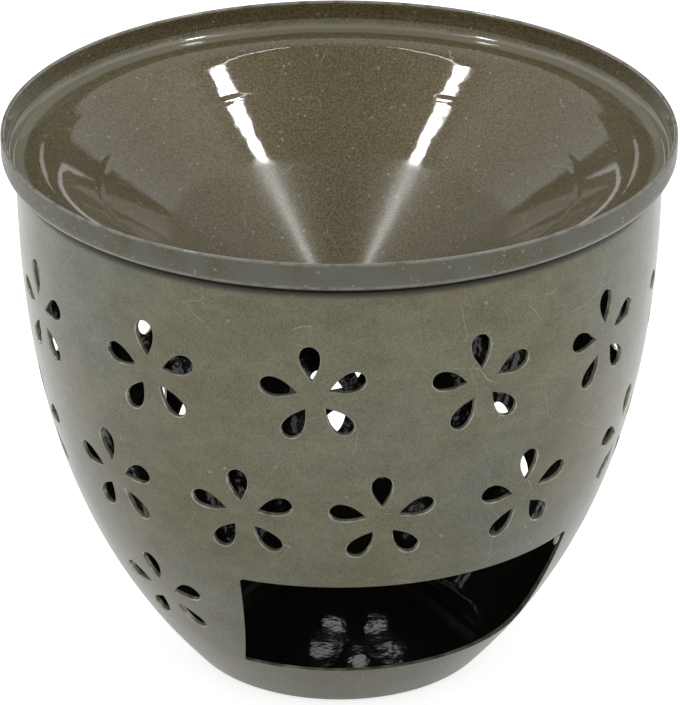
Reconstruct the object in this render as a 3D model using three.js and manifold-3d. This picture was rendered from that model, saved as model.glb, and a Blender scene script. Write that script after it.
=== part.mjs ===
// Oil burner pressed from thin steel sheet: a bowl with punched flowers and a candle window,
// and a conical oil dish whose ledge rests on the bowl's turned-in lip and lifts off.
// Millimetres, +Z up. The origin is the centre of the foot on the table, the window faces -Y.

import * as THREE from "three";
import { mergeVertices } from "three/addons/utils/BufferGeometryUtils.js";
import Module from "manifold-3d";

const wasm = await Module();
wasm.setup();

// Driving dimensions

const SHEET = 0.8; // thickness of the steel sheet, the same in both pressings
const TURNS = 48; // flat facets round each pressing

const FOOT_RADIUS = 26.6; // where the wall would meet the table without its rounded corner
const FOOT_CORNER = 3; // outer rounding between the flat foot and the wall
const FOOT_SLOPE = 47.5; // angle of the wall over the table at the foot, degrees
const FOOT_SWELL_LENGTH = 31.5; // how far the wall is drawn out along that angle
const MOUTH_RADIUS = 57.4; // outside of the wall just under the lip
const MOUTH_SWELL_LENGTH = 41.5; // how far the wall is drawn straight down from the lip
const BODY_HEIGHT = 96; // table to the top of the lip, which carries the dish
const LIP_BEND = 2; // outer rounding where the wall turns in to the lip

const BAND_OVERHANG = 2.6; // how far the dish's band stands out past the body's mouth
const BAND_HEIGHT = 5.7; // underside of the ledge to the top of the band
const BAND_CORNER = 0.8; // inner rounding between ledge and band
const LEDGE_WIDTH = 5.9; // flat of the ledge, from the band's rounding to the shoulder
const SHOULDER_BEND = 8; // rounding of the shoulder, measured on the top side
const CONE_SLOPE = 34; // fall of the cone below the horizontal, degrees
const BOTTOM_BEND = 14; // rounding of the dish's bottom, measured on the top side
const SEAT_CLEARANCE = 1; // play between the shoulder and the lip that it drops into

const WINDOW_TOP = 34.4; // height of the window's upper edge
const WINDOW_BOTTOM = 11.1; // height of its lower edge
const WINDOW_TOP_WIDTH = 60.8;
const WINDOW_BOTTOM_WIDTH = 51.4;
const WINDOW_CORNER = 0.6; // rounding of the window's four corners

const PETALS = 5; // petals in a flower
const PETAL_TIP = 3; // flower centre to a petal's pointed end
const PETAL_END = 9.6; // flower centre to its round end
const PETAL_WIDTH = 3.6;
const PETAL_STEPS = 10; // straight pieces round a petal

const RING_COUNT = 12; // flowers in each of the two full rings
const UPPER_RING = { height: 75.5, climb: 0, first: 7.2, lean: 5.2 };
const MIDDLE_RING = { height: 50.7, climb: 1.1, lean: 2.6 };
const LOWER_RING = { height: 25.7, climb: 1.8, count: 6, pitch: 46.4, centre: 180.9, lean: 2 };

// The punch was indexed by hand: how far each flower stands past its even place, degrees
const UPPER_DRIFT = [0.6, -0.4, 0, 0, 0, 0, 0, 0, 0, -3, -0.4, 0.4];
const MIDDLE_DRIFT = [-2, -2.3, 0.9, 0, 0, 0, 0, 0, 0, 1.5, 1.7, 1.2];
const LOWER_DRIFT = [0, 0, 0, 4.3, 0, 0];

const PUNCH_REACH = 3; // how far a cutter starts outside the wall
const PUNCH_LENGTH = 40; // length of a petal's punch inside the wall, to its point

const LACQUER = { color: 0x6d6a58, roughness: 0.36, metalness: 0.85 };
const DISH_LACQUER = { color: 0x5f5b49, roughness: 0.22, metalness: 0.9 };

const radians = THREE.MathUtils.degToRad;

// Sheet lines: a pressing is drawn by the line of one of its sides, from the axis to its edge

function arc(centreRadius, centreHeight, bend, from, to) {
  const clockwise = to < from;
  return new THREE.EllipseCurve(
    centreRadius, centreHeight, bend, bend, radians(from), radians(to), clockwise,
  );
}

function line(from, to) {
  return new THREE.LineCurve(from, to);
}

// Points along the joined curves, moved sideways by the given distance to the left of travel
function sideOf(curves, distance) {
  const points = [];
  for (const { curve, steps } of curves) {
    for (let step = 0; step <= steps; step += 1) {
      const along = step / steps;
      const tangent = curve.getTangent(along);
      const point = curve.getPoint(along);
      point.x -= tangent.y * distance;
      point.y += tangent.x * distance;
      const last = points.at(-1);
      if (!last || last.distanceTo(point) > 0.001) points.push(point);
    }
  }
  return points;
}

// The sheet between a drawn line and its other side, closed by a rounded edge, turned round the axis
function pressing(curves, thickness) {
  const drawn = sideOf(curves, 0);
  const back = sideOf(curves, thickness);
  const edgeSteps = 2;
  const { curve } = curves.at(-1);
  const tangent = curve.getTangent(1);
  const middle = drawn.at(-1).clone().add(back.at(-1)).divideScalar(2);
  const across = drawn.at(-1).clone().sub(middle);
  const edge = [];
  for (let step = 1; step < edgeSteps; step += 1) {
    const turn = Math.PI * step / edgeSteps;
    const point = middle.clone();
    point.addScaledVector(across, Math.cos(turn));
    point.addScaledVector(tangent, across.length() * Math.sin(turn));
    edge.push(point);
  }
  const loop = [...drawn, ...edge, ...back.reverse()];
  loop[0].x = 0;
  loop.at(-1).x = 0;
  if (thickness < 0) loop.reverse();
  return new THREE.LatheGeometry(loop, TURNS).rotateX(Math.PI / 2);
}

// Solids for cutting

function solidOf(geometry) {
  geometry.deleteAttribute("normal");
  geometry.deleteAttribute("uv");
  const merged = mergeVertices(geometry, 0.0001);
  const corners = merged.index.array;
  const triangles = [];
  for (let i = 0; i < corners.length; i += 3) {
    const [a, b, c] = corners.slice(i, i + 3);
    if (a !== b && b !== c && c !== a) triangles.push(a, b, c);
  }
  return new wasm.Manifold(new wasm.Mesh({
    numProp: 3,
    vertProperties: merged.attributes.position.array,
    triVerts: new Uint32Array(triangles),
  }));
}

function meshOf(name, solid, look) {
  const { vertProperties, triVerts } = solid.getMesh();
  const geometry = new THREE.BufferGeometry();
  geometry.setAttribute("position", new THREE.BufferAttribute(vertProperties, 3));
  geometry.setIndex(new THREE.BufferAttribute(triVerts, 1));
  geometry.computeVertexNormals();
  const mesh = new THREE.Mesh(geometry, new THREE.MeshStandardMaterial(look));
  mesh.name = name;
  return mesh;
}

// Burner body: the outside line runs from the axis over the foot, up the wall and round the lip

// The dish's sizes that the lip is made to, and the radius of the lip's cut edge
const dishRadius = MOUTH_RADIUS + BAND_OVERHANG;
const ledgeInside = dishRadius - SHEET - BAND_CORNER - LEDGE_WIDTH;
const lipInside = ledgeInside + SEAT_CLEARANCE;

function wallCurve() {
  const slope = radians(FOOT_SLOPE);
  const foot = new THREE.Vector2(FOOT_RADIUS, 0);
  const footPull = new THREE.Vector2(Math.cos(slope), Math.sin(slope)).multiplyScalar(FOOT_SWELL_LENGTH);
  const mouth = new THREE.Vector2(MOUTH_RADIUS, BODY_HEIGHT - LIP_BEND);
  const mouthPull = new THREE.Vector2(0, -MOUTH_SWELL_LENGTH);
  return new THREE.CubicBezierCurve(
    foot, foot.clone().add(footPull), mouth.clone().add(mouthPull), mouth,
  );
}

// The wall above its foot corner, as the part of the curve from the given place to the mouth
class WallAbove extends THREE.Curve {
  constructor(wall, start) {
    super();
    this.wall = wall;
    this.start = start;
  }

  getPoint(along, target = new THREE.Vector2()) {
    return this.wall.getPoint(THREE.MathUtils.lerp(this.start, 1, along), target);
  }

  getTangent(along) {
    return this.wall.getTangent(THREE.MathUtils.lerp(this.start, 1, along));
  }
}

// The place on the wall curve where it reaches a height above the table
function placeAtHeight(wall, height) {
  let low = 0;
  let high = 1;
  for (let halving = 0; halving < 40; halving += 1) {
    const middle = (low + high) / 2;
    if (wall.getPoint(middle).y < height) low = middle;
    else high = middle;
  }
  return low;
}

// The place on the wall curve where a ball of the foot corner's size touches wall and table
function placeOfFootCorner(wall) {
  let low = 0;
  let high = 1;
  for (let halving = 0; halving < 40; halving += 1) {
    const middle = (low + high) / 2;
    const centreHeight = wall.getPoint(middle).y + wall.getTangent(middle).x * FOOT_CORNER;
    if (centreHeight < FOOT_CORNER) low = middle;
    else high = middle;
  }
  return low;
}

function bodyShell() {
  const wall = wallCurve();
  const start = placeOfFootCorner(wall);
  const leaves = wall.getPoint(start);
  const tangent = wall.getTangent(start);
  const footFlat = leaves.x - tangent.y * FOOT_CORNER;
  const footEnd = THREE.MathUtils.radToDeg(Math.atan2(tangent.y, tangent.x)) - 90;
  const lipCentre = MOUTH_RADIUS - LIP_BEND;
  const curves = [
    { curve: line(new THREE.Vector2(0, 0), new THREE.Vector2(footFlat, 0)), steps: 1 },
    { curve: arc(footFlat, FOOT_CORNER, FOOT_CORNER, -90, footEnd), steps: 2 },
    { curve: new WallAbove(wall, start), steps: 8 },
    { curve: arc(lipCentre, BODY_HEIGHT - LIP_BEND, LIP_BEND, 0, 90), steps: 3 },
    {
      curve: line(
        new THREE.Vector2(lipCentre, BODY_HEIGHT),
        new THREE.Vector2(lipInside + SHEET / 2, BODY_HEIGHT),
      ),
      steps: 1,
    },
  ];
  return pressing(curves, SHEET);
}

// Flower punch: five teardrops, each driven through the sheet by a long point that tapers inwards

// A petal's outline seen from outside, counter-clockwise from its tip: sin(a) sin(a/2) over cos(a)
function petalOutline(turn) {
  const middle = (PETAL_TIP + PETAL_END) / 2;
  const halfLength = (PETAL_END - PETAL_TIP) / 2;
  const widest = 4 / (3 * Math.sqrt(3));
  const halfWidth = PETAL_WIDTH / 2 / widest;
  const flowerCentre = new THREE.Vector2(0, 0);
  const points = [];
  for (let step = 0; step < PETAL_STEPS; step += 1) {
    const angle = 2 * Math.PI * step / PETAL_STEPS;
    const across = halfWidth * Math.sin(angle) * Math.sin(angle / 2);
    const along = middle - halfLength * Math.cos(angle);
    points.push(new THREE.Vector2(across, along).rotateAround(flowerCentre, turn));
  }
  return points;
}

function flowerPoints(lean) {
  const positions = [];
  const triangles = [];
  for (let petal = 0; petal < PETALS; petal += 1) {
    const turn = radians(lean) + 2 * Math.PI * petal / PETALS;
    const outline = petalOutline(turn);
    const first = positions.length / 3;
    const point = first + outline.length;
    for (const { x, y } of outline) positions.push(x, y, PUNCH_REACH);
    const middle = (PETAL_TIP + PETAL_END) / 2;
    positions.push(-middle * Math.sin(turn), middle * Math.cos(turn), -PUNCH_LENGTH);
    for (const corners of THREE.ShapeUtils.triangulateShape(outline, [])) {
      triangles.push(...corners.map((corner) => first + corner));
    }
    outline.forEach((_, corner) => {
      const next = (corner + 1) % outline.length;
      triangles.push(first + next, first + corner, point);
    });
  }
  const geometry = new THREE.BufferGeometry();
  geometry.setAttribute("position", new THREE.Float32BufferAttribute(positions, 3));
  geometry.setIndex(triangles);
  return geometry;
}

// The punch of one flower, square to the wall at a height and at an angle round from the window
function flowerPunch(height, around, lean) {
  const wall = wallCurve();
  const place = placeAtHeight(wall, height);
  const centre = wall.getPoint(place);
  const tangent = wall.getTangent(place);
  const outX = Math.sin(radians(around));
  const outY = -Math.cos(radians(around));
  const right = new THREE.Vector3(-outY, outX, 0);
  const up = new THREE.Vector3(outX * tangent.x, outY * tangent.x, tangent.y);
  const outward = new THREE.Vector3(outX * tangent.y, outY * tangent.y, -tangent.x);
  const stand = new THREE.Matrix4().makeBasis(right, up, outward);
  stand.setPosition(outX * centre.x, outY * centre.x, height);
  return solidOf(flowerPoints(lean).applyMatrix4(stand));
}

// One ring of flowers; a ring that climbs stands lower at the window and higher at the back
function ringPunches(ring, count, first, pitch, drift) {
  const punches = [];
  for (let flower = 0; flower < count; flower += 1) {
    const around = first + flower * pitch + (drift[flower] ?? 0);
    const height = ring.height - ring.climb * Math.cos(radians(around));
    punches.push(flowerPunch(height, around, ring.lean));
  }
  return punches;
}

function flowerPunches() {
  const pitch = 360 / RING_COUNT;
  const staggered = UPPER_RING.first - pitch / 2;
  const lowerFirst = LOWER_RING.centre - LOWER_RING.pitch * (LOWER_RING.count - 1) / 2;
  return [
    ...ringPunches(UPPER_RING, RING_COUNT, UPPER_RING.first, pitch, UPPER_DRIFT),
    ...ringPunches(MIDDLE_RING, RING_COUNT, staggered, pitch, MIDDLE_DRIFT),
    ...ringPunches(LOWER_RING, LOWER_RING.count, lowerFirst, LOWER_RING.pitch, LOWER_DRIFT),
  ];
}

// Candle window: an upright tapered opening cut straight through the front wall

function windowCutter() {
  const corners = [
    new THREE.Vector2(-WINDOW_BOTTOM_WIDTH / 2, WINDOW_BOTTOM),
    new THREE.Vector2(WINDOW_BOTTOM_WIDTH / 2, WINDOW_BOTTOM),
    new THREE.Vector2(WINDOW_TOP_WIDTH / 2, WINDOW_TOP),
    new THREE.Vector2(-WINDOW_TOP_WIDTH / 2, WINDOW_TOP),
  ];
  const outline = new THREE.Shape();
  corners.forEach((corner, index) => {
    const before = corners.at(index - 1).clone().sub(corner).setLength(WINDOW_CORNER);
    const after = corners[(index + 1) % corners.length].clone().sub(corner).setLength(WINDOW_CORNER);
    const enter = corner.clone().add(before);
    const leave = corner.clone().add(after);
    if (index === 0) outline.moveTo(enter.x, enter.y);
    else outline.lineTo(enter.x, enter.y);
    outline.quadraticCurveTo(corner.x, corner.y, leave.x, leave.y);
  });
  outline.closePath();
  const depth = MOUTH_RADIUS + PUNCH_REACH;
  const geometry = new THREE.ExtrudeGeometry(outline, {
    depth,
    bevelEnabled: false,
    curveSegments: 2,
  });
  geometry.rotateX(Math.PI / 2);
  return solidOf(geometry);
}

function burnerBody() {
  let solid = solidOf(bodyShell());
  solid = solid.subtract(windowCutter());
  for (const punch of flowerPunches()) solid = solid.subtract(punch);
  return meshOf("burner_body", solid, LACQUER);
}

// Oil dish: the top line runs from the axis up the cone, over the shoulder and ledge, up the band

function oilDish() {
  const ledgeTop = BODY_HEIGHT + SHEET;
  const bandTop = BODY_HEIGHT + BAND_HEIGHT;
  const bandInside = dishRadius - SHEET;
  const slope = radians(CONE_SLOPE);
  const shoulderTop = new THREE.Vector2(ledgeInside, ledgeTop);
  const shoulderCentre = ledgeTop - SHOULDER_BEND;
  const coneTop = new THREE.Vector2(
    ledgeInside - SHOULDER_BEND * Math.sin(slope),
    shoulderCentre + SHOULDER_BEND * Math.cos(slope),
  );
  const coneFoot = new THREE.Vector2(BOTTOM_BEND * Math.sin(slope), 0);
  coneFoot.y = coneTop.y - (coneTop.x - coneFoot.x) * Math.tan(slope);
  const bottomCentre = coneFoot.y + BOTTOM_BEND * Math.cos(slope);
  const bandCentre = new THREE.Vector2(bandInside - BAND_CORNER, ledgeTop + BAND_CORNER);
  const bandFoot = new THREE.Vector2(bandInside, ledgeTop + BAND_CORNER);
  const curves = [
    { curve: arc(0, bottomCentre, BOTTOM_BEND, -90, CONE_SLOPE - 90), steps: 3 },
    { curve: line(coneFoot, coneTop), steps: 1 },
    { curve: arc(ledgeInside, shoulderCentre, SHOULDER_BEND, 90 + CONE_SLOPE, 90), steps: 3 },
    { curve: line(shoulderTop, new THREE.Vector2(bandCentre.x, ledgeTop)), steps: 1 },
    { curve: arc(bandCentre.x, bandCentre.y, BAND_CORNER, -90, 0), steps: 2 },
    { curve: line(bandFoot, new THREE.Vector2(bandInside, bandTop - SHEET / 2)), steps: 1 },
  ];
  return meshOf("oil_dish", solidOf(pressing(curves, -SHEET)), DISH_LACQUER);
}

const oilBurner = new THREE.Group();
oilBurner.add(burnerBody());
oilBurner.add(oilDish());

export default oilBurner;
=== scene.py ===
# Oil burner pressed from thin steel sheet: a bowl with punched flowers for a tealight, and the
# conical oil dish that rests in its mouth. Metres, +Z up, the candle window faces -Y.

import math

import bmesh
import bpy
from mathutils import Matrix, Vector


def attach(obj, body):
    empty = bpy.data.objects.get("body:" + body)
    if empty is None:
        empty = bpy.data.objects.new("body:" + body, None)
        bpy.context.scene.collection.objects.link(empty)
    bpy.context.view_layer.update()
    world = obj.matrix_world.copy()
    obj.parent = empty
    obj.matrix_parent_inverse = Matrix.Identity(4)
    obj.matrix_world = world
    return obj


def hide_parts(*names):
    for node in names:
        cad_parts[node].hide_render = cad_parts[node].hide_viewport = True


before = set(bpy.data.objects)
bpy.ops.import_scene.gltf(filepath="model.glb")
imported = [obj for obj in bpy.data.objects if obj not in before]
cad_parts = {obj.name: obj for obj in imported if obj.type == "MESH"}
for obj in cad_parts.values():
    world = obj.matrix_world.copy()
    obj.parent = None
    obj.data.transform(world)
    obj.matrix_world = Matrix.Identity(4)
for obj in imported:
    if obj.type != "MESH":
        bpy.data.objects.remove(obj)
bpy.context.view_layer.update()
scene = bpy.context.scene
scene.view_settings.view_transform = "Standard"


# Camera. The burner is seen a little from above and from the left of its candle window,
# from far off with a long lens, so that its sides hardly converge.

CAMERA_AROUND = math.radians(-18.0)
CAMERA_ABOVE = math.radians(25.34)
CAMERA_DISTANCE = 1.0
AIM_HEIGHT = 0.0571
LENS = 282.66
SIDE_SHIFT = 0.0011


def direction(around, above):
    return Vector((
        math.sin(around) * math.cos(above),
        -math.cos(around) * math.cos(above),
        math.sin(above),
    ))


def add_object(name, data):
    thing = bpy.data.objects.new(name, data)
    scene.collection.objects.link(thing)
    return thing


def aim(thing, place, target):
    thing.location = place
    thing.rotation_euler = (target - place).to_track_quat("-Z", "Y").to_euler()


camera_data = bpy.data.cameras.new("photo_camera")
camera_data.lens = LENS
camera_data.sensor_width = 36
camera_data.shift_x = SIDE_SHIFT
camera_data.clip_end = 20
camera = add_object("photo_camera", camera_data)
aim_point = Vector((0, 0, AIM_HEIGHT))
aim(camera, aim_point + CAMERA_DISTANCE * direction(CAMERA_AROUND, CAMERA_ABOVE), aim_point)
scene.camera = camera


# Studio. A white table in a white room with a bright low wall, a dark door straight behind and
# a grey ceiling. Two broad lamps high up on either side draw the streaks down the inside of the
# dish and two thin tubes the arcs at their tops. A small card behind draws the line on the ledge.

LAMP_ABOVE = math.radians(67)
LAMP_AROUND = math.radians(110)
LAMP_DISTANCE = 0.75
LAMP_LENGTH = 0.13
LAMP_WIDTH = 0.04
LAMP_POWER = 0.7
TUBE_ABOVE = math.radians(61.4)
TUBE_AROUND = math.radians(172)
TUBE_WIDTH = 0.008
TUBE_POWER = 0.12
TABLE_HALF = 3.0
TABLE_DROP = 0.0001
TABLE_WHITE = (0.82, 0.82, 0.82, 1)
TABLE_GLOW_SEEN = 0.72
TABLE_GLOW_MIRRORED = 0.3
BACKDROP = (1, 1, 1, 1)
WINDOW_WALL = (1, 1, 1, 1)
WHITE_WALL = (0.76, 0.77, 0.78, 1)
WALL_TOP = math.radians(60)
WALL_TOP_SOFT = 0.03
CEILING = (0.14, 0.14, 0.14, 1)
DARK_DOOR = (0.05, 0.05, 0.05, 1)
DOOR_FOOT = math.radians(10)
DOOR_TOP = math.radians(33)
DOOR_HALF = math.radians(28)
DOOR_SOFT = 0.02
CARD_AWAY = 0.6
CARD_FOOT = 0.29
CARD_TOP = 0.369
CARD_HALF = 0.018
CARD_GLOW = 1.1


def node_in(tree, kind, **settings):
    node = tree.nodes.new(kind)
    for name, value in settings.items():
        setattr(node, name, value)
    return node


def feed(tree, socket, value):
    if isinstance(value, bpy.types.NodeSocket):
        tree.links.new(value, socket)
    else:
        socket.default_value = value


def calculate(tree, operation, *values):
    node = node_in(tree, "ShaderNodeMath", operation=operation)
    for socket, value in zip(node.inputs, values):
        feed(tree, socket, value)
    return node.outputs[0]


def blend_colours(tree, share, first, second):
    node = node_in(tree, "ShaderNodeMix", data_type="RGBA")
    feed(tree, node.inputs["Factor"], share)
    feed(tree, node.inputs[6], first)
    feed(tree, node.inputs[7], second)
    return node.outputs[2]


def colour_steps(tree, value, steps):
    node = node_in(tree, "ShaderNodeValToRGB")
    feed(tree, node.inputs["Fac"], value)
    ramp = node.color_ramp
    while len(ramp.elements) < len(steps):
        ramp.elements.new(0.5)
    for element, (place, colour) in zip(ramp.elements, steps):
        element.position = place
        element.color = colour
    return node.outputs["Color"]


def past(tree, value, edge, soft):
    node = node_in(tree, "ShaderNodeMapRange", interpolation_type="SMOOTHSTEP")
    feed(tree, node.inputs["Value"], value)
    node.inputs["From Min"].default_value = edge - soft
    node.inputs["From Max"].default_value = edge + soft
    return node.outputs[0]


def short_of(tree, value, edge, soft):
    return calculate(tree, "SUBTRACT", 1, past(tree, value, edge, soft))


def within(tree, value, low, high, soft):
    over_low = past(tree, value, low, soft)
    return calculate(tree, "MULTIPLY", over_low, short_of(tree, value, high, soft))


def room_walls(tree, height):
    return colour_steps(tree, height, [
        (math.sin(DOOR_FOOT) - DOOR_SOFT, WINDOW_WALL),
        (math.sin(DOOR_FOOT) + DOOR_SOFT, WHITE_WALL),
        (math.sin(WALL_TOP) - WALL_TOP_SOFT, WHITE_WALL),
        (math.sin(WALL_TOP) + WALL_TOP_SOFT, CEILING),
        (1, CEILING),
    ])


def room_door(tree, looking, height):
    to_the_side = direction(CAMERA_AROUND + math.pi / 2, 0)
    straight_behind = -direction(CAMERA_AROUND, 0)
    parts = []
    for along in (to_the_side, straight_behind):
        part = node_in(tree, "ShaderNodeVectorMath", operation="DOT_PRODUCT")
        tree.links.new(looking, part.inputs[0])
        part.inputs[1].default_value = along
        parts.append(part.outputs["Value"])
    around = calculate(tree, "ARCTAN2", *parts)
    across = within(tree, around, -DOOR_HALF, DOOR_HALF, DOOR_SOFT)
    up = within(tree, height, math.sin(DOOR_FOOT), math.sin(DOOR_TOP), DOOR_SOFT)
    return calculate(tree, "MULTIPLY", across, up)


def studio_world():
    world = bpy.data.worlds.new("studio_room")
    world.use_nodes = True
    tree = world.node_tree
    looking = node_in(tree, "ShaderNodeTexCoord").outputs["Generated"]
    split = node_in(tree, "ShaderNodeSeparateXYZ")
    tree.links.new(looking, split.inputs[0])
    height = split.outputs["Z"]
    door = room_door(tree, looking, height)
    room = blend_colours(tree, door, room_walls(tree, height), DARK_DOOR)
    path = node_in(tree, "ShaderNodeLightPath")
    shown = blend_colours(tree, path.outputs["Is Camera Ray"], room, BACKDROP)
    tree.links.new(shown, tree.nodes["Background"].inputs["Color"])
    scene.world = world


def blank_material(name):
    material = bpy.data.materials.new(name)
    material.use_nodes = True
    tree = material.node_tree
    tree.nodes.clear()
    return material, tree, node_in(tree, "ShaderNodeOutputMaterial")


def table_material():
    material, tree, output = blank_material("white_table")
    paint = node_in(tree, "ShaderNodeBsdfDiffuse")
    paint.inputs["Color"].default_value = TABLE_WHITE
    glow = node_in(tree, "ShaderNodeEmission")
    seen_by = node_in(tree, "ShaderNodeLightPath").outputs
    straight = calculate(tree, "MULTIPLY", seen_by["Is Camera Ray"], TABLE_GLOW_SEEN)
    mirrored = calculate(tree, "MAXIMUM", seen_by["Is Glossy Ray"], seen_by["Is Transmission Ray"])
    mirrored = calculate(tree, "MULTIPLY", mirrored, TABLE_GLOW_MIRRORED)
    tree.links.new(calculate(tree, "ADD", straight, mirrored), glow.inputs["Strength"])
    both = node_in(tree, "ShaderNodeAddShader")
    tree.links.new(paint.outputs[0], both.inputs[0])
    tree.links.new(glow.outputs[0], both.inputs[1])
    tree.links.new(both.outputs[0], output.inputs["Surface"])
    return material


def flat_sheet(name, corners, material):
    mesh = bpy.data.meshes.new(name)
    mesh.from_pydata(corners, [], [(0, 1, 2, 3)])
    mesh.materials.append(material)
    return add_object(name, mesh)


def table():
    around = [(-1, -1), (1, -1), (1, 1), (-1, 1)]
    corners = [(TABLE_HALF * x, TABLE_HALF * y, -TABLE_DROP) for x, y in around]
    floor = flat_sheet("table", corners, table_material())


def reflected_card():
    material, tree, output = blank_material("white_card")
    glow = node_in(tree, "ShaderNodeEmission")
    glow.inputs["Strength"].default_value = CARD_GLOW
    tree.links.new(glow.outputs[0], output.inputs["Surface"])
    foot = -CARD_AWAY * direction(CAMERA_AROUND, 0) + Vector((0, 0, CARD_FOOT))
    side = CARD_HALF * direction(CAMERA_AROUND + math.pi / 2, 0)
    up = Vector((0, 0, CARD_TOP - CARD_FOOT))
    corners = [foot - side, foot + side, foot + side + up, foot - side + up]
    card = flat_sheet("white_card", corners, material)
    card.visible_camera = False
    card.visible_diffuse = False
    card.visible_shadow = False


def tube_lamp(name, start, end, width, power):
    middle = (start + end) / 2
    back = (middle - aim_point).normalized()
    along = (end - start).normalized()
    along = (along - back * along.dot(back)).normalized()
    lamp = bpy.data.lights.new(name, "AREA")
    lamp.shape = "RECTANGLE"
    lamp.size = (end - start).length
    lamp.size_y = width
    lamp.energy = power
    holder = add_object(name, lamp)
    holder.location = middle
    holder.rotation_euler = Matrix((along, back.cross(along), back)).transposed().to_euler()


def lamps(name, side):
    middle = LAMP_DISTANCE * direction(CAMERA_AROUND + side * LAMP_AROUND, LAMP_ABOVE)
    across = Vector((-middle.y, middle.x, 0)).normalized() * LAMP_LENGTH / 2
    centre = aim_point + middle
    tube_lamp("broad_" + name, centre - across, centre + across, LAMP_WIDTH, LAMP_POWER)
    far_end = aim_point + LAMP_DISTANCE * direction(CAMERA_AROUND + side * TUBE_AROUND, TUBE_ABOVE)
    tube_lamp("thin_" + name, centre, far_end, TUBE_WIDTH, TUBE_POWER)


studio_world()
table()
reflected_card()
lamps("lamp_right", 1)
lamps("lamp_left", -1)


# Burner body. A bowl deep-drawn from 0.8 mm steel sheet, its mouth turned in to a narrow lip
# that carries the dish. Flowers and candle window are punched out of the wall, and the whole
# is lacquered in a satin olive-grey metallic.

SHEET = 0.0008
FOOT_FLAT = 0.02528
FOOT_CORNER = 0.003
FOOT_SLOPE = math.radians(47.5)
FOOT_RADIUS = 0.0266
FOOT_SWELL = 0.0315
MOUTH_RADIUS = 0.0574
MOUTH_SWELL = 0.0415
BODY_HEIGHT = 0.096
LIP_BEND = 0.002
LIP_INSIDE = 0.0535
BODY_AROUND = 288
TINY = 1e-6
DRAWN_SIDE, BACK_SIDE, CUT_SIDE = range(3)

WALL_FOOT = Vector((FOOT_RADIUS, 0))
WALL_MOUTH = Vector((MOUTH_RADIUS, BODY_HEIGHT - LIP_BEND))
WALL_FOOT_PULL = WALL_FOOT + FOOT_SWELL * Vector((math.cos(FOOT_SLOPE), math.sin(FOOT_SLOPE)))
WALL_MOUTH_PULL = WALL_MOUTH - Vector((0, MOUTH_SWELL))


def wall_point(along):
    away = 1 - along
    return (away ** 3 * WALL_FOOT + 3 * away ** 2 * along * WALL_FOOT_PULL
            + 3 * away * along ** 2 * WALL_MOUTH_PULL + along ** 3 * WALL_MOUTH)


def arc_points(centre, radius, start, end, steps):
    points = []
    for step in range(steps + 1):
        angle = math.radians(start + (end - start) * step / steps)
        points.append(Vector((
            centre[0] + radius * math.cos(angle),
            centre[1] + radius * math.sin(angle),
        )))
    return points


def line_points(start, end, steps):
    return [Vector(start).lerp(Vector(end), step / steps) for step in range(steps + 1)]


def without_repeats(points):
    kept = [points[0]]
    for point in points[1:]:
        if (point - kept[-1]).length > TINY:
            kept.append(point)
    return kept


# The drawn side of the sheet, its rounded edge, and the same line set back by its thickness.

def sheet_loop(drawn, thickness, edge_steps):
    back = []
    for index, point in enumerate(drawn):
        before = drawn[max(index - 1, 0)]
        after = drawn[min(index + 1, len(drawn) - 1)]
        travel = (after - before).normalized()
        back.append(point + thickness * Vector((-travel.y, travel.x)))
    travel = (drawn[-1] - drawn[-2]).normalized()
    middle = (drawn[-1] + back[-1]) / 2
    across = drawn[-1] - middle
    edge = []
    for step in range(1, edge_steps):
        turn = math.pi * step / edge_steps
        edge.append(middle + across * math.cos(turn) + travel * across.length * math.sin(turn))
    return drawn, edge, back[::-1]


def turned(name, sides, around):
    drawn, edge, back = sides
    loop = drawn + edge + back
    zones = [DRAWN_SIDE] * (len(drawn) - 1)
    zones += [CUT_SIDE] * (len(edge) + 1)
    zones += [BACK_SIDE] * (len(back) - 1)
    shape = bmesh.new()
    zone_layer = shape.faces.layers.int.new("zone")
    rings = []
    for radius, height in loop:
        if radius < TINY:
            rings.append([shape.verts.new((0, 0, height))] * around)
            continue
        ring = []
        for step in range(around):
            angle = 2 * math.pi * step / around
            place = (radius * math.cos(angle), radius * math.sin(angle), height)
            ring.append(shape.verts.new(place))
        rings.append(ring)
    for zone, lower, upper in zip(zones, rings, rings[1:]):
        for step in range(around):
            after = (step + 1) % around
            # At the middle a ring is a single point, so its repeat is dropped.
            corners = dict.fromkeys([lower[step], lower[after], upper[after], upper[step]])
            face = shape.faces.new(corners)
            face[zone_layer] = zone
    bmesh.ops.recalc_face_normals(shape, faces=shape.faces)
    mesh = bpy.data.meshes.new(name)
    shape.to_mesh(mesh)
    shape.free()
    mesh.shade_smooth()
    return add_object(name, mesh)


def body_outline():
    wall_steps = 76
    fine_step = 0.0005
    corner_height = FOOT_CORNER * (1 - math.cos(FOOT_SLOPE))
    start = 0.0
    while wall_point(start).y < corner_height:
        start += fine_step
    slope_end = math.degrees(FOOT_SLOPE) - 90
    bend_middle = (MOUTH_RADIUS - LIP_BEND, BODY_HEIGHT - LIP_BEND)
    lip_start = (MOUTH_RADIUS - LIP_BEND, BODY_HEIGHT)
    lip_end = (LIP_INSIDE + SHEET / 2, BODY_HEIGHT)
    points = line_points((0, 0), (FOOT_FLAT, 0), steps=8)
    points += arc_points((FOOT_FLAT, FOOT_CORNER), FOOT_CORNER, -90, slope_end, steps=8)
    for step in range(1, wall_steps + 1):
        points.append(wall_point(start + (1 - start) * step / wall_steps))
    points += arc_points(bend_middle, LIP_BEND, 0, 90, steps=8)
    points += line_points(lip_start, lip_end, steps=3)
    return without_repeats(points)


body = turned("pressed_body", sheet_loop(body_outline(), SHEET, edge_steps=4), BODY_AROUND)


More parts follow.
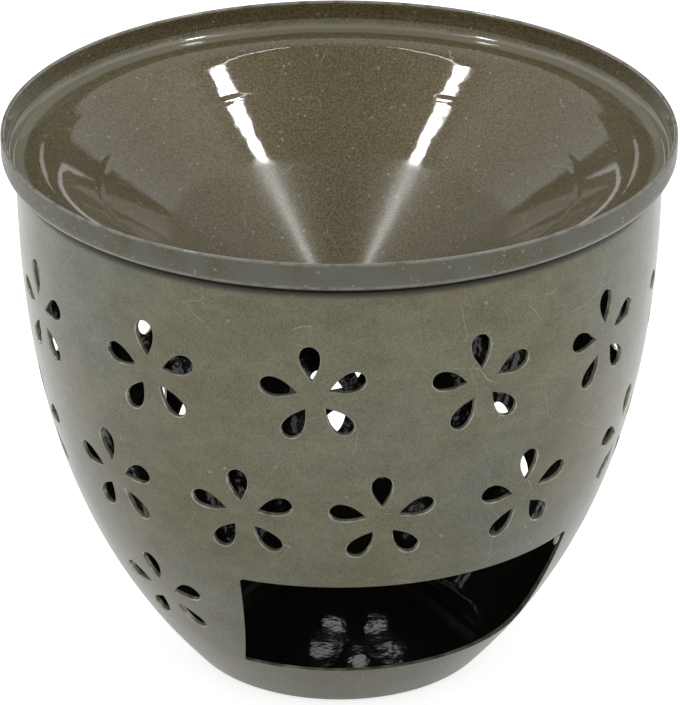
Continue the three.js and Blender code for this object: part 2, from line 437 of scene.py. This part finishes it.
# Punched flowers. Each flower is five teardrops punched together from outside, so that the
# sheet rolls in a little at every rim. Two full rings stand staggered, and a third, lower
# ring runs round the back from one side of the candle window to the other. A drift is how many
# degrees one flower stands off the even pitch, as hand indexing leaves it.

PETALS = 5
PETAL_TIP = 0.003
PETAL_END = 0.0096
PETAL_WIDTH = 0.0036
PETAL_SIDES = 36
RIM_ROLL = 0.0003
PUNCH_REACH = 0.002
FLOWER_RINGS = [
    {"height": 0.0755, "climb": 0, "first": 7.2, "pitch": 30, "lean": 5.2,
     "drift": [0.6, -0.4, 0, 0, 0, 0, 0, 0, 0, -3, -0.4, 0.4]},
    {"height": 0.0507, "climb": 0.0011, "first": -7.8, "pitch": 30, "lean": 2.6,
     "drift": [-2, -2.3, 0.9, 0, 0, 0, 0, 0, 0, 1.5, 1.7, 1.2]},
    {"height": 0.0257, "climb": 0.0018, "first": 64.9, "pitch": 46.4, "lean": 2,
     "drift": [0, 0, 0, 4.3, 0, 0]},
]


def distance_up_wall(height):
    steps = 2000
    distance = 0.0
    before = wall_point(0)
    for step in range(1, steps + 1):
        point = wall_point(step / steps)
        if point.y > height:
            break
        distance += (point - before).length
        before = point
    return distance


def flower_marks():
    places = {"around": [], "up_the_wall": [], "lean": []}
    for ring in FLOWER_RINGS:
        for number, drift in enumerate(ring["drift"]):
            around = math.radians(ring["first"] + number * ring["pitch"] + drift)
            height = ring["height"] - ring["climb"] * math.cos(around)
            places["around"].append(around)
            places["up_the_wall"].append(distance_up_wall(height))
            places["lean"].append(math.radians(ring["lean"]))
    mesh = bpy.data.meshes.new("flower_marks")
    mesh.from_pydata([(0, 0, 0)] * len(places["around"]), [], [])
    for name, values in places.items():
        mesh.attributes.new(name, "FLOAT", "POINT").data.foreach_set("value", values)
    return add_object("flower_marks", mesh)


def group_tree(name, inputs):
    tree = bpy.data.node_groups.new(name, "GeometryNodeTree")
    for label, kind in inputs:
        tree.interface.new_socket(label, in_out="INPUT", socket_type=kind)
    tree.interface.new_socket("Geometry", in_out="OUTPUT", socket_type="NodeSocketGeometry")
    return tree, node_in(tree, "NodeGroupInput"), node_in(tree, "NodeGroupOutput")


def combine(tree, x, y, z):
    node = node_in(tree, "ShaderNodeCombineXYZ")
    for socket, value in zip(node.inputs, (x, y, z)):
        feed(tree, socket, value)
    return node.outputs[0]


def separate(tree, vector):
    node = node_in(tree, "ShaderNodeSeparateXYZ")
    tree.links.new(vector, node.inputs[0])
    return node.outputs


def moved_to(tree, geometry, position):
    node = node_in(tree, "GeometryNodeSetPosition")
    tree.links.new(geometry, node.inputs["Geometry"])
    tree.links.new(position, node.inputs["Position"])
    return node.outputs["Geometry"]


def kept_value(tree, name, kind="FLOAT"):
    node = node_in(tree, "GeometryNodeInputNamedAttribute", data_type=kind)
    node.inputs["Name"].default_value = name
    return node.outputs["Attribute"]


# One punch is a cylinder bent into a teardrop. Its lowest ring of points is the foot, the next
# four follow the rolled rim, and the top ring is the head. WIDEST is the greatest value of
# sin(a) * sin(a / 2), so dividing by it makes the teardrop as wide as asked.

ROLL_STEPS = 3
ROLL_STEP = math.radians(24)
PUNCH_LEVELS = ROLL_STEPS + 2
WIDEST = 0.7698


def rolled_rim(tree, sizes, level):
    turn = calculate(tree, "MULTIPLY", calculate(tree, "SUBTRACT", level, 1), ROLL_STEP)
    turn = calculate(tree, "MAXIMUM", turn, 0)
    turn = calculate(tree, "MINIMUM", turn, ROLL_STEP * ROLL_STEPS)
    wider = calculate(tree, "SUBTRACT", 1, calculate(tree, "COSINE", turn))
    deeper = calculate(tree, "SUBTRACT", calculate(tree, "SINE", turn), 1)
    grow = calculate(tree, "MULTIPLY", sizes["Rim Roll"], wider)
    sink = calculate(tree, "MULTIPLY", sizes["Rim Roll"], deeper)
    head = calculate(tree, "GREATER_THAN", level, PUNCH_LEVELS - 0.5)
    foot = calculate(tree, "LESS_THAN", level, 0.5)
    out = calculate(tree, "MULTIPLY", sizes["Reach"], calculate(tree, "SUBTRACT", head, foot))
    return grow, calculate(tree, "ADD", sink, out)


def teardrop(tree, sizes, angle, grow):
    length = calculate(tree, "SUBTRACT", sizes["End"], sizes["Tip"])
    half_length = calculate(tree, "MULTIPLY", length, 0.5)
    half_width = calculate(tree, "MULTIPLY", sizes["Width"], 0.5)
    middle = calculate(tree, "ADD", sizes["Tip"], half_length)
    half_angle = calculate(tree, "MULTIPLY", angle, 0.5)
    drop = calculate(tree, "ABSOLUTE", calculate(tree, "SINE", half_angle))
    side = calculate(tree, "MULTIPLY", calculate(tree, "SINE", angle), drop)
    side = calculate(tree, "MULTIPLY", side, calculate(tree, "ADD", half_width, grow))
    side = calculate(tree, "DIVIDE", side, WIDEST)
    along = calculate(tree, "MULTIPLY", calculate(tree, "COSINE", angle), -1)
    along = calculate(tree, "MULTIPLY", along, calculate(tree, "ADD", half_length, grow))
    return side, calculate(tree, "ADD", middle, along)


def petal_punch_tree():
    tree, given, result = group_tree("petal punch", [
        ("Tip", "NodeSocketFloat"), ("End", "NodeSocketFloat"), ("Width", "NodeSocketFloat"),
        ("Rim Roll", "NodeSocketFloat"), ("Reach", "NodeSocketFloat"),
    ])
    cylinder = node_in(tree, "GeometryNodeMeshCylinder", fill_type="NGON")
    cylinder.inputs["Vertices"].default_value = PETAL_SIDES
    cylinder.inputs["Side Segments"].default_value = PUNCH_LEVELS
    cylinder.inputs["Radius"].default_value = 1
    cylinder.inputs["Depth"].default_value = 1
    x, y, z = separate(tree, node_in(tree, "GeometryNodeInputPosition").outputs[0])
    level = calculate(tree, "MULTIPLY", calculate(tree, "ADD", z, 0.5), PUNCH_LEVELS)
    grow, out = rolled_rim(tree, given.outputs, level)
    side, along = teardrop(tree, given.outputs, calculate(tree, "ARCTAN2", y, x), grow)
    shaped = moved_to(tree, cylinder.outputs["Mesh"], combine(tree, side, along, out))
    tree.links.new(shaped, result.inputs["Geometry"])
    return tree


def instances(tree, points, shape, turn):
    node = node_in(tree, "GeometryNodeInstanceOnPoints")
    tree.links.new(points, node.inputs["Points"])
    tree.links.new(shape, node.inputs["Instance"])
    tree.links.new(combine(tree, 0, 0, turn), node.inputs["Rotation"])
    whole = node_in(tree, "GeometryNodeRealizeInstances")
    tree.links.new(node.outputs["Instances"], whole.inputs["Geometry"])
    return whole.outputs["Geometry"]


def one_flower(tree, petal, petals):
    line = node_in(tree, "GeometryNodeMeshLine")
    line.inputs["Offset"].default_value = (0, 0, 0)
    tree.links.new(petals, line.inputs["Count"])
    index = node_in(tree, "GeometryNodeInputIndex").outputs[0]
    turn = calculate(tree, "DIVIDE", 2 * math.pi, petals)
    return instances(tree, line.outputs["Mesh"], petal, calculate(tree, "MULTIPLY", turn, index))


def place_on_wall(tree, wall):
    x, y, z = separate(tree, node_in(tree, "GeometryNodeInputPosition").outputs[0])
    sample = node_in(tree, "GeometryNodeSampleCurve", mode="LENGTH", use_all_curves=False)
    tree.links.new(wall, sample.inputs["Curves"])
    up_the_wall = calculate(tree, "ADD", kept_value(tree, "up_the_wall"), y)
    tree.links.new(up_the_wall, sample.inputs["Length"])
    wall_out, _, wall_up = separate(tree, sample.outputs["Position"])
    slope_out, _, slope_up = separate(tree, sample.outputs["Tangent"])
    sideways = calculate(tree, "DIVIDE", x, wall_out)
    turn = calculate(tree, "ADD", kept_value(tree, "around"), sideways)
    radius = calculate(tree, "ADD", wall_out, calculate(tree, "MULTIPLY", z, slope_up))
    height = calculate(tree, "SUBTRACT", wall_up, calculate(tree, "MULTIPLY", z, slope_out))
    towards_window = calculate(tree, "MULTIPLY", radius, calculate(tree, "COSINE", turn))
    return combine(
        tree,
        calculate(tree, "MULTIPLY", radius, calculate(tree, "SINE", turn)),
        calculate(tree, "MULTIPLY", towards_window, -1),
        height,
    )


def flowers_on_wall_tree():
    tree, given, result = group_tree("flowers on the wall", [
        ("Petal", "NodeSocketGeometry"), ("Petals", "NodeSocketInt"),
        ("Marks", "NodeSocketGeometry"), ("Wall", "NodeSocketGeometry"),
    ])
    flower = one_flower(tree, given.outputs["Petal"], given.outputs["Petals"])
    flat = instances(tree, given.outputs["Marks"], flower, kept_value(tree, "lean"))
    placed = moved_to(tree, flat, place_on_wall(tree, given.outputs["Wall"]))
    tree.links.new(placed, result.inputs["Geometry"])
    return tree


# Candle window. One tapered opening punched through the wall above the foot, to put the
# tealight in. Its corners are all but sharp, and its edges show the bare thickness of the sheet.

WINDOW_TOP = 0.0344
WINDOW_BOTTOM = 0.0111
WINDOW_TOP_WIDTH = 0.0608
WINDOW_BOTTOM_WIDTH = 0.0514
WINDOW_CORNER = 0.0006


def window_cutter(tree):
    outline = node_in(tree, "GeometryNodeCurvePrimitiveQuadrilateral", mode="TRAPEZOID")
    outline.inputs["Height"].default_value = WINDOW_TOP - WINDOW_BOTTOM
    outline.inputs["Bottom Width"].default_value = WINDOW_BOTTOM_WIDTH
    outline.inputs["Top Width"].default_value = WINDOW_TOP_WIDTH
    outline.inputs["Offset"].default_value = 0
    rounded = node_in(tree, "GeometryNodeFilletCurve", mode="POLY")
    rounded.inputs["Count"].default_value = 5
    rounded.inputs["Radius"].default_value = WINDOW_CORNER
    tree.links.new(outline.outputs["Curve"], rounded.inputs["Curve"])
    face = node_in(tree, "GeometryNodeFillCurve", mode="NGONS")
    tree.links.new(rounded.outputs["Curve"], face.inputs["Curve"])
    stretch = node_in(tree, "GeometryNodeExtrudeMesh", mode="FACES")
    stretch.inputs["Offset Scale"].default_value = 2 * MOUTH_RADIUS
    stretch.inputs["Individual"].default_value = False
    tree.links.new(face.outputs["Mesh"], stretch.inputs["Mesh"])
    back = node_in(tree, "GeometryNodeFlipFaces")
    tree.links.new(face.outputs["Mesh"], back.inputs["Mesh"])
    both = node_in(tree, "GeometryNodeJoinGeometry")
    tree.links.new(back.outputs["Mesh"], both.inputs["Geometry"])
    tree.links.new(stretch.outputs["Mesh"], both.inputs["Geometry"])
    closed = node_in(tree, "GeometryNodeMergeByDistance")
    closed.inputs["Distance"].default_value = TINY
    tree.links.new(both.outputs["Geometry"], closed.inputs["Geometry"])
    stand = node_in(tree, "GeometryNodeTransform")
    stand.inputs["Translation"].default_value = (0, 0, (WINDOW_TOP + WINDOW_BOTTOM) / 2)
    stand.inputs["Rotation"].default_value = (math.pi / 2, 0, 0)
    tree.links.new(closed.outputs["Geometry"], stand.inputs["Geometry"])
    return stand.outputs["Geometry"]


def cut_zone(tree, geometry):
    keep = node_in(tree, "GeometryNodeStoreNamedAttribute", data_type="INT", domain="FACE")
    keep.inputs["Name"].default_value = "zone"
    keep.inputs["Value"].default_value = CUT_SIDE
    tree.links.new(geometry, keep.inputs["Geometry"])
    return keep.outputs["Geometry"]


def wall_curve(tree):
    wall = node_in(tree, "GeometryNodeCurvePrimitiveBezierSegment", mode="POSITION")
    wall.inputs["Resolution"].default_value = 400
    handles = {"Start": WALL_FOOT, "Start Handle": WALL_FOOT_PULL,
               "End Handle": WALL_MOUTH_PULL, "End": WALL_MOUTH}
    for name, point in handles.items():
        wall.inputs[name].default_value = (point.x, 0, point.y)
    return wall.outputs["Curve"]


def flower_punches(tree, given):
    petal = node_in(tree, "GeometryNodeGroup")
    petal.node_tree = petal_punch_tree()
    for name in ("Tip", "End", "Width"):
        tree.links.new(given["Petal " + name], petal.inputs[name])
    tree.links.new(given["Rim Roll"], petal.inputs["Rim Roll"])
    petal.inputs["Reach"].default_value = PUNCH_REACH
    marks = node_in(tree, "GeometryNodeObjectInfo")
    tree.links.new(given["Marks"], marks.inputs["Object"])
    flowers = node_in(tree, "GeometryNodeGroup")
    flowers.node_tree = flowers_on_wall_tree()
    tree.links.new(petal.outputs["Geometry"], flowers.inputs["Petal"])
    tree.links.new(given["Petals"], flowers.inputs["Petals"])
    tree.links.new(marks.outputs["Geometry"], flowers.inputs["Marks"])
    tree.links.new(wall_curve(tree), flowers.inputs["Wall"])
    return flowers.outputs["Geometry"]


def cut_out(tree, shell, punches):
    cut = node_in(tree, "GeometryNodeMeshBoolean", operation="DIFFERENCE", solver="EXACT")
    tree.links.new(shell, cut.inputs["Mesh 1"])
    tree.links.new(cut_zone(tree, punches), cut.inputs["Mesh 2"])
    crisp_above = math.radians(35)
    edge_angle = node_in(tree, "GeometryNodeInputMeshEdgeAngle").outputs["Unsigned Angle"]
    sharp = calculate(tree, "GREATER_THAN", edge_angle, crisp_above)
    sharp = calculate(tree, "MAXIMUM", sharp, cut.outputs["Intersecting Edges"])
    crisp = node_in(tree, "GeometryNodeSetShadeSmooth", domain="EDGE")
    tree.links.new(cut.outputs["Mesh"], crisp.inputs["Geometry"])
    tree.links.new(sharp, crisp.inputs["Selection"])
    crisp.inputs["Shade Smooth"].default_value = False
    return crisp.outputs["Geometry"]


def dressed(tree, geometry, materials):
    zone = kept_value(tree, "zone", "INT")
    for number, material in enumerate(materials):
        chosen = node_in(tree, "FunctionNodeCompare", data_type="INT", operation="EQUAL")
        tree.links.new(zone, chosen.inputs[2])
        chosen.inputs[3].default_value = number
        coated = node_in(tree, "GeometryNodeSetMaterial")
        tree.links.new(geometry, coated.inputs["Geometry"])
        tree.links.new(chosen.outputs["Result"], coated.inputs["Selection"])
        coated.inputs["Material"].default_value = material
        geometry = coated.outputs["Geometry"]
    return geometry


def punched_body_tree(materials):
    tree, given, result = group_tree("punched body", [
        ("Shell", "NodeSocketGeometry"), ("Petal Tip", "NodeSocketFloat"),
        ("Petal End", "NodeSocketFloat"), ("Petal Width", "NodeSocketFloat"),
        ("Rim Roll", "NodeSocketFloat"), ("Petals", "NodeSocketInt"), ("Marks", "NodeSocketObject"),
    ])
    punches = node_in(tree, "GeometryNodeJoinGeometry")
    tree.links.new(flower_punches(tree, given.outputs), punches.inputs["Geometry"])
    tree.links.new(window_cutter(tree), punches.inputs["Geometry"])
    cut = cut_out(tree, given.outputs["Shell"], punches.outputs["Geometry"])
    whole = node_in(tree, "GeometryNodeRealizeInstances")
    tree.links.new(cut, whole.inputs["Geometry"])
    geometry = dressed(tree, whole.outputs["Geometry"], materials)
    tree.links.new(geometry, result.inputs["Geometry"])
    return tree


def plain_result(piece):
    evaluated = piece.evaluated_get(bpy.context.evaluated_depsgraph_get())
    mesh = bpy.data.meshes.new_from_object(evaluated)
    piece.modifiers.clear()
    piece.data = mesh


# Lacquers of the body. Satin olive-grey with fine metal flake outside, rubbed and scratched by
# use, and darkened by painted shade at the top of the wall, under the dish's band. The inside is
# dark and glossy, and the cut edges show a thin bright line.

OLIVE = (0.144, 0.136, 0.080, 1)
OLIVE_BROWN = (0.138, 0.108, 0.046, 1)
OLIVE_BLUE = (0.136, 0.144, 0.122, 1)
OLIVE_DARK = (0.045, 0.042, 0.024, 1)
OLIVE_LIGHT = (0.26, 0.25, 0.16, 1)
RUBBED_SHARE = 0.30
FLAKE_SHARE = 0.34
SCRATCH = (0.38, 0.37, 0.31, 1)
SCRATCH_SHARE = 0.4
SCRATCH_WANDER = 0.003
# Painted shade: the top of the wall turns near black under the dish's band.
PAINTED_SHADE = (0.030, 0.028, 0.020, 1)
PAINTED_SHADE_EDGE = BODY_HEIGHT - 0.00155
PAINTED_SHADE_SOFT = 0.00055
SATIN_LEAST = 0.28
SATIN_SPREAD = 0.16
DARK_INSIDE = (0.012, 0.012, 0.011, 1)
DUSTY_INSIDE = (0.028, 0.027, 0.023, 1)
EDGE_OLIVE = (0.18, 0.17, 0.115, 1)
EDGE_BRIGHT = (0.50, 0.48, 0.38, 1)


def lacquer_base(name, values):
    material = bpy.data.materials.new(name)
    material.use_nodes = True
    shader = material.node_tree.nodes["Principled BSDF"]
    for label, value in values.items():
        shader.inputs[label].default_value = value
    return material, material.node_tree, shader


def object_place(tree):
    return node_in(tree, "ShaderNodeTexCoord").outputs["Object"]


def noise(tree, scale, detail, stretch=(1, 1, 1), roughness=0.5):
    mapping = node_in(tree, "ShaderNodeMapping")
    mapping.inputs["Scale"].default_value = stretch
    tree.links.new(object_place(tree), mapping.inputs["Vector"])
    texture = node_in(tree, "ShaderNodeTexNoise")
    texture.inputs["Scale"].default_value = scale
    texture.inputs["Detail"].default_value = detail
    texture.inputs["Roughness"].default_value = roughness
    tree.links.new(mapping.outputs[0], texture.inputs["Vector"])
    return texture.outputs["Fac"]


def scratches(tree, scale, width, rarity):
    wander = node_in(tree, "ShaderNodeTexNoise")
    wander.inputs["Scale"].default_value = scale * 2
    tree.links.new(object_place(tree), wander.inputs["Vector"])
    bent = node_in(tree, "ShaderNodeVectorMath", operation="MULTIPLY_ADD")
    tree.links.new(wander.outputs["Color"], bent.inputs[0])
    bent.inputs[1].default_value = [SCRATCH_WANDER] * 3
    tree.links.new(object_place(tree), bent.inputs[2])
    cells = node_in(tree, "ShaderNodeTexVoronoi", feature="DISTANCE_TO_EDGE")
    cells.inputs["Scale"].default_value = scale
    tree.links.new(bent.outputs[0], cells.inputs["Vector"])
    line = calculate(tree, "LESS_THAN", cells.outputs["Distance"], width)
    present = calculate(tree, "GREATER_THAN", noise(tree, scale * 2.4, detail=3), rarity)
    return calculate(tree, "MULTIPLY", line, present)


def specks(tree, scale, size, share):
    cells = node_in(tree, "ShaderNodeTexVoronoi")
    cells.inputs["Scale"].default_value = scale
    tree.links.new(object_place(tree), cells.inputs["Vector"])
    chance = node_in(tree, "ShaderNodeSeparateColor")
    tree.links.new(cells.outputs["Color"], chance.inputs[0])
    dot = calculate(tree, "LESS_THAN", cells.outputs["Distance"], size)
    return calculate(tree, "MULTIPLY", dot, calculate(tree, "LESS_THAN", chance.outputs[0], share))


def bumps(tree, height, strength, distance):
    node = node_in(tree, "ShaderNodeBump")
    node.inputs["Strength"].default_value = strength
    node.inputs["Distance"].default_value = distance
    tree.links.new(height, node.inputs["Height"])
    return node.outputs[0]


def painted(tree, under, zone, share, over):
    return blend_colours(tree, calculate(tree, "MULTIPLY", zone, share), under, over)


def dark_to_light(tree, value):
    return colour_steps(tree, value, [(0.35, OLIVE_DARK), (0.65, OLIVE_LIGHT)])


def body_lacquer():
    material, tree, shader = lacquer_base("olive_metallic_lacquer", {
        "Metallic": 0.85, "Coat Weight": 0.8, "Coat Roughness": 0.16,
    })
    colour = colour_steps(tree, noise(tree, scale=28, detail=5, roughness=0.6), [
        (0.36, OLIVE_BROWN), (0.5, OLIVE), (0.64, OLIVE_BLUE),
    ])
    rubbed = noise(tree, scale=130, detail=6, stretch=(1, 1, 1.6), roughness=0.68)
    colour = blend_colours(tree, RUBBED_SHARE, colour, dark_to_light(tree, rubbed))
    flake = noise(tree, scale=3400, detail=3)
    colour = blend_colours(tree, FLAKE_SHARE, colour, dark_to_light(tree, flake))
    worn = calculate(
        tree, "MAXIMUM",
        scratches(tree, scale=55, width=0.0025, rarity=0.56),
        specks(tree, scale=520, size=0.2, share=0.02),
    )
    colour = painted(tree, colour, worn, SCRATCH_SHARE, SCRATCH)
    height = separate(tree, object_place(tree))["Z"]
    # Painted shade: darkens the top of the wall, where the dish's band overhangs it.
    colour = blend_colours(tree, past(tree, height, PAINTED_SHADE_EDGE, PAINTED_SHADE_SOFT), colour, PAINTED_SHADE)
    tree.links.new(colour, shader.inputs["Base Color"])
    uneven = noise(tree, scale=90, detail=4)
    satin = calculate(tree, "MULTIPLY_ADD", uneven, SATIN_SPREAD, SATIN_LEAST)
    tree.links.new(satin, shader.inputs["Roughness"])
    tree.links.new(bumps(tree, flake, strength=0.12, distance=0.0002), shader.inputs["Normal"])
    return material


def inside_lacquer():
    material, tree, shader = lacquer_base("dark_inside_lacquer", {
        "Metallic": 0, "Roughness": 0.07, "IOR": 1.75,
    })
    colour = colour_steps(tree, noise(tree, scale=60, detail=3), [
        (0.3, DARK_INSIDE), (0.8, DUSTY_INSIDE),
    ])
    tree.links.new(colour, shader.inputs["Base Color"])
    waves = noise(tree, scale=300, detail=2)
    tree.links.new(bumps(tree, waves, strength=0.17, distance=0.0004), shader.inputs["Normal"])
    return material


def cut_edge():
    material, tree, shader = lacquer_base("cut_edge", {
        "Metallic": 0.35, "Roughness": 0.3, "Coat Weight": 1, "Coat Roughness": 0.1,
    })
    colour = colour_steps(tree, noise(tree, scale=500, detail=3), [
        (0.35, EDGE_OLIVE), (0.7, EDGE_BRIGHT),
    ])
    tree.links.new(colour, shader.inputs["Base Color"])
    return material


punches = body.modifiers.new("punched_body", "NODES")
punches.node_group = punched_body_tree([body_lacquer(), inside_lacquer(), cut_edge()])
marks = flower_marks()
punch_values = {"Petal Tip": PETAL_TIP, "Petal End": PETAL_END, "Petal Width": PETAL_WIDTH,
                "Rim Roll": RIM_ROLL, "Petals": PETALS, "Marks": marks}
for item in punches.node_group.interface.items_tree:
    if item.name in punch_values:
        punches[item.identifier] = punch_values[item.name]
plain_result(body)
bpy.data.objects.remove(marks)
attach(body, "burner")
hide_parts("burner_body")


# Oil dish. One round pressing of the same sheet: an upright band, a flat ledge that rests on
# the body's lip, a rounded shoulder and a cone down to a small rounded bottom. Its lacquer is
# brown and glossy, hazed by old oil at the bottom and worn grey outside. A lighter ring in the
# ledge corner is dust together with a painted reflection, and the lighter rim and lower outer
# corner of the band are wear together with a painted highlight.

DISH_RADIUS = 0.06
BAND_HEIGHT = 0.0057
BAND_CORNER = 0.0018
LEDGE_INSIDE = 0.0545
SHOULDER_BEND = 0.0098
CONE_SLOPE = math.radians(34)
BOTTOM_BEND = 0.014
DISH_AROUND = 360

DISH_BROWN = (0.084, 0.056, 0.012, 1)
DISH_OLIVE = (0.104, 0.083, 0.032, 1)
DISH_FLAKE_DARK = (0.016, 0.011, 0.003, 1)
DISH_FLAKE_LIGHT = (0.27, 0.22, 0.10, 1)
DISH_FLAKE_SHARE = 0.42
HAZE_GREY = (0.100, 0.090, 0.054, 1)
HAZE_SHARE = 0.6
HAZE_EDGE = 0.0305
HAZE_SOFT = 0.0012
# Dust and painted reflection: a lighter grey ring in the ledge corner of the dish.
LEDGE_DUST_AND_REFLECTION = (0.265, 0.255, 0.190, 1)
DUST_AND_REFLECTION_SHARE = 0.75
DUST_AND_REFLECTION_FROM = 0.0559
DUST_AND_REFLECTION_TO = 0.0587
DUST_AND_REFLECTION_SOFT = 0.0004
BAND_GREY = (0.122, 0.125, 0.096, 1)
BAND_FACE = DISH_RADIUS - 0.0004
BAND_SOFT = 0.0001
# Wear and painted highlight: lightens the band's top edge and its lower outer corner.
RIM_WEAR_AND_HIGHLIGHT = (0.27, 0.265, 0.23, 1)
WEAR_AND_HIGHLIGHT_SHARE = 0.75
WEAR_AND_HIGHLIGHT_SOFT = 0.0002
RIM_FROM = BODY_HEIGHT + BAND_HEIGHT - 0.00035
BEND_RADIUS = DISH_RADIUS - 0.0011
BEND_TOP = BODY_HEIGHT + 0.0014
RAGGED = 0.003
BLOTCH_CONTRAST = 2.4
BLOTCH_LESS = 0.5
RING_FROM = 0.042
RING_TO = 0.043
RING_SOFT = 0.0005
RING_HEIGHT = 0.35
WAVE_HEIGHT = 0.22
GLOSS = 0.05
HAZE_DULLS = 0.16
HAZE_COVERS = 0.55
WEAR_STRIPS = 0.6


def dish_outline():
    ledge = BODY_HEIGHT + SHEET
    inside = DISH_RADIUS - SHEET
    rim = BODY_HEIGHT + BAND_HEIGHT - SHEET / 2
    slope = math.degrees(CONE_SLOPE)
    shoulder = Vector((LEDGE_INSIDE, ledge - SHOULDER_BEND))
    cone_top = shoulder + SHOULDER_BEND * Vector((-math.sin(CONE_SLOPE), math.cos(CONE_SLOPE)))
    cone_foot = Vector((BOTTOM_BEND * math.sin(CONE_SLOPE), 0))
    cone_foot.y = cone_top.y - (cone_top.x - cone_foot.x) * math.tan(CONE_SLOPE)
    bottom = (0, cone_foot.y + BOTTOM_BEND * math.cos(CONE_SLOPE))
    corner = (inside - BAND_CORNER, ledge + BAND_CORNER)
    points = arc_points(bottom, BOTTOM_BEND, -90, slope - 90, steps=12)
    points += line_points(cone_foot, cone_top, steps=50)
    points += arc_points(shoulder, SHOULDER_BEND, 90 + slope, 90, steps=24)
    points += line_points((LEDGE_INSIDE, ledge), (corner[0], ledge), steps=5)
    points += arc_points(corner, BAND_CORNER, -90, 0, steps=6)
    points += line_points((inside, corner[1]), (inside, rim), steps=5)
    return without_repeats(points)


def dish_zones(tree):
    x, y, height = separate(tree, object_place(tree))
    square = calculate(tree, "MULTIPLY_ADD", x, x, calculate(tree, "MULTIPLY", y, y))
    radius = calculate(tree, "SQRT", square)
    uneven = noise(tree, scale=120, detail=4)
    ragged = calculate(tree, "MULTIPLY_ADD", uneven, RAGGED, -RAGGED / 2)

    def ragged_radius(share):
        return calculate(tree, "MULTIPLY_ADD", ragged, share, radius)

    outside = past(tree, radius, BAND_FACE, BAND_SOFT)
    rim = past(tree, height, RIM_FROM, BAND_SOFT)
    bend = calculate(
        tree, "MULTIPLY",
        past(tree, radius, BEND_RADIUS, WEAR_AND_HIGHLIGHT_SOFT),
        short_of(tree, height, BEND_TOP, WEAR_AND_HIGHLIGHT_SOFT),
    )
    return {
        "outside": outside,
        "edges": calculate(tree, "MAXIMUM", rim, bend),
        "hazed": short_of(tree, ragged_radius(share=1), HAZE_EDGE, HAZE_SOFT),
        "corner": within(tree, ragged_radius(share=0.3), DUST_AND_REFLECTION_FROM, DUST_AND_REFLECTION_TO, DUST_AND_REFLECTION_SOFT),
        "ring": within(tree, ragged_radius(share=0.25), RING_FROM, RING_TO, RING_SOFT),
    }


def dish_wear_and_highlight(tree, zones):
    patchy = past(tree, noise(tree, scale=420, detail=4), edge=0.42, soft=0.12)
    # The rubbed rim and lower band corner are wear together with a painted highlight.
    rubbed = calculate(tree, "MULTIPLY", zones["edges"], patchy)
    chips = specks(tree, scale=1100, size=0.32, share=0.05)
    chips = calculate(tree, "MULTIPLY", zones["outside"], chips)
    marks = calculate(
        tree, "MAXIMUM",
        scratches(tree, scale=90, width=0.005, rarity=0.61),
        specks(tree, scale=900, size=0.25, share=0.05),
    )
    return calculate(tree, "MAXIMUM", rubbed, calculate(tree, "MAXIMUM", chips, marks))


def dish_colour(tree, zones):
    colour = colour_steps(tree, noise(tree, scale=45, detail=4), [
        (0.38, DISH_BROWN), (0.66, DISH_OLIVE),
    ])
    colour = painted(tree, colour, zones["hazed"], HAZE_SHARE, HAZE_GREY)
    flake = colour_steps(tree, noise(tree, scale=2600, detail=2), [
        (0.35, DISH_FLAKE_DARK), (0.68, DISH_FLAKE_LIGHT),
    ])
    colour = blend_colours(tree, DISH_FLAKE_SHARE, colour, flake)
    # Dust and painted reflection: lightens the ring in the ledge corner.
    colour = painted(tree, colour, zones["corner"], DUST_AND_REFLECTION_SHARE, LEDGE_DUST_AND_REFLECTION)
    uneven = noise(tree, scale=150, detail=5)
    blotches = calculate(tree, "MULTIPLY_ADD", uneven, BLOTCH_CONTRAST, -BLOTCH_LESS)
    colour = painted(tree, colour, zones["outside"], blotches, BAND_GREY)
    # Wear, with a painted highlight on the rim and the band's lower corner, chips and scratches.
    return painted(tree, colour, dish_wear_and_highlight(tree, zones), WEAR_AND_HIGHLIGHT_SHARE, RIM_WEAR_AND_HIGHLIGHT)


def dish_lacquer():
    material, tree, shader = lacquer_base("brown_olive_gloss_lacquer", {
        "Metallic": 0.25, "Roughness": 0.5, "Coat Roughness": GLOSS,
    })
    zones = dish_zones(tree)
    tree.links.new(dish_colour(tree, zones), shader.inputs["Base Color"])
    coat = calculate(tree, "MULTIPLY_ADD", zones["outside"], -WEAR_STRIPS, 1)
    coat = calculate(tree, "MULTIPLY_ADD", zones["hazed"], -HAZE_COVERS, coat)
    tree.links.new(coat, shader.inputs["Coat Weight"])
    gloss = calculate(tree, "MULTIPLY_ADD", zones["hazed"], HAZE_DULLS, GLOSS)
    tree.links.new(gloss, shader.inputs["Coat Roughness"])
    waves = calculate(tree, "MULTIPLY", noise(tree, scale=170, detail=2), WAVE_HEIGHT)
    waves = calculate(tree, "MULTIPLY_ADD", zones["ring"], RING_HEIGHT, waves)
    tree.links.new(bumps(tree, waves, strength=0.5, distance=0.0004), shader.inputs["Coat Normal"])
    return material


dish = turned("oil_dish_pressing", sheet_loop(dish_outline(), -SHEET, edge_steps=5), DISH_AROUND)
dish.data.materials.append(dish_lacquer())
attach(dish, "dish")
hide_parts("oil_dish")
